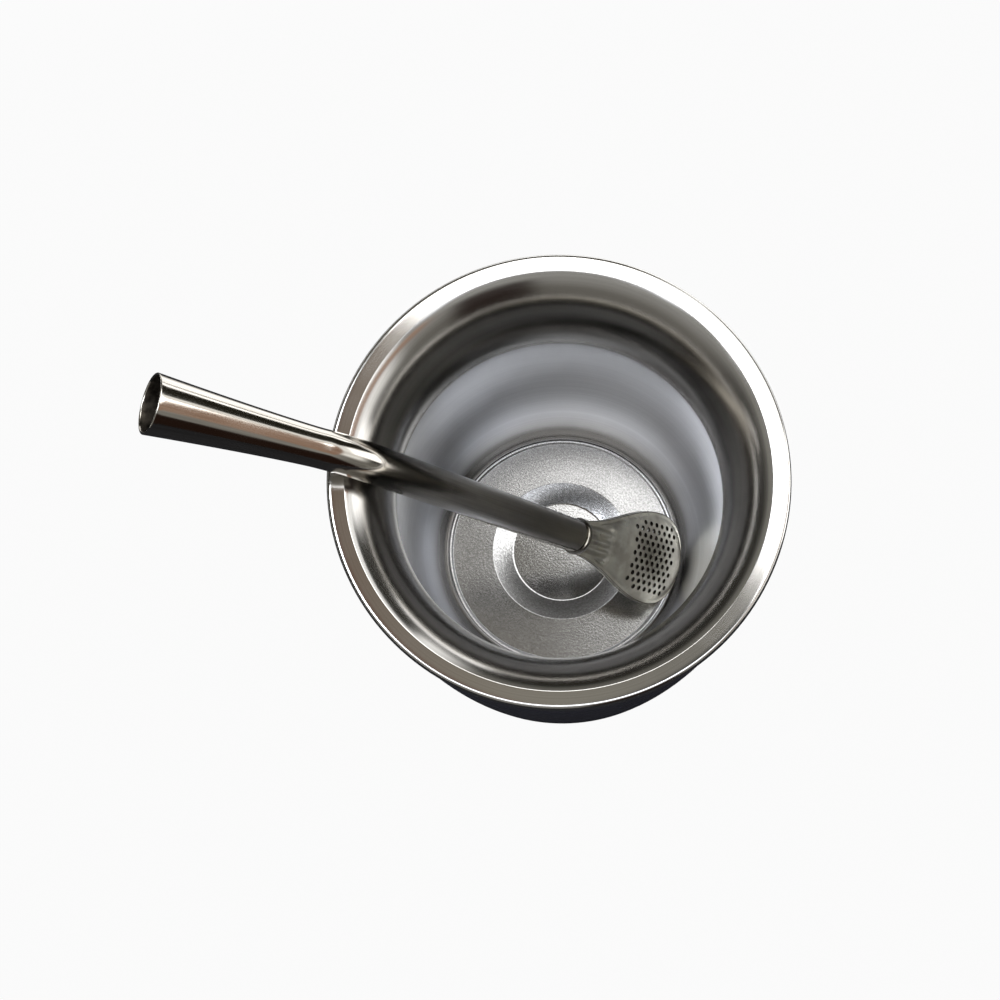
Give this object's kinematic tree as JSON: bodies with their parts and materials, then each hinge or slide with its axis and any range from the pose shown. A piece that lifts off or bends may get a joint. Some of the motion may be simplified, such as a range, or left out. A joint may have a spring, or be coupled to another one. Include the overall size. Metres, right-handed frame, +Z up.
{
  "type": "steel mate cup with drinking straw",
  "caption": "Round double-walled steel mate cup with a flared lip and a bent metal drinking straw that ends in a flat perforated strainer.",
  "frame": {"origin": "centre of the cup's flat underside, on the surface that it stands on", "axes": "+Z up through the mouth of the cup, +X towards the side where the strainer lies, the straw's mouthpiece leans out over the lip towards -X"},
  "size_m": [0.1231, 0.09, 0.1183],
  "materials": {
    "steel_liner": "satin, drawn sheet",
    "navy_enamel": "glossy dark blue enamel",
    "steel_base": "satin",
    "polished_tube": "polished",
    "stamped_strainer": "stamped, half bright"
  },
  "bodies": {
    "root": {"cup_liner": "steel_liner", "cup_shell": "navy_enamel", "cup_base": "steel_base", "straw_tube": "polished_tube", "strainer_front": "stamped_strainer", "strainer_back": "stamped_strainer"}
  },
  "joints": []
}
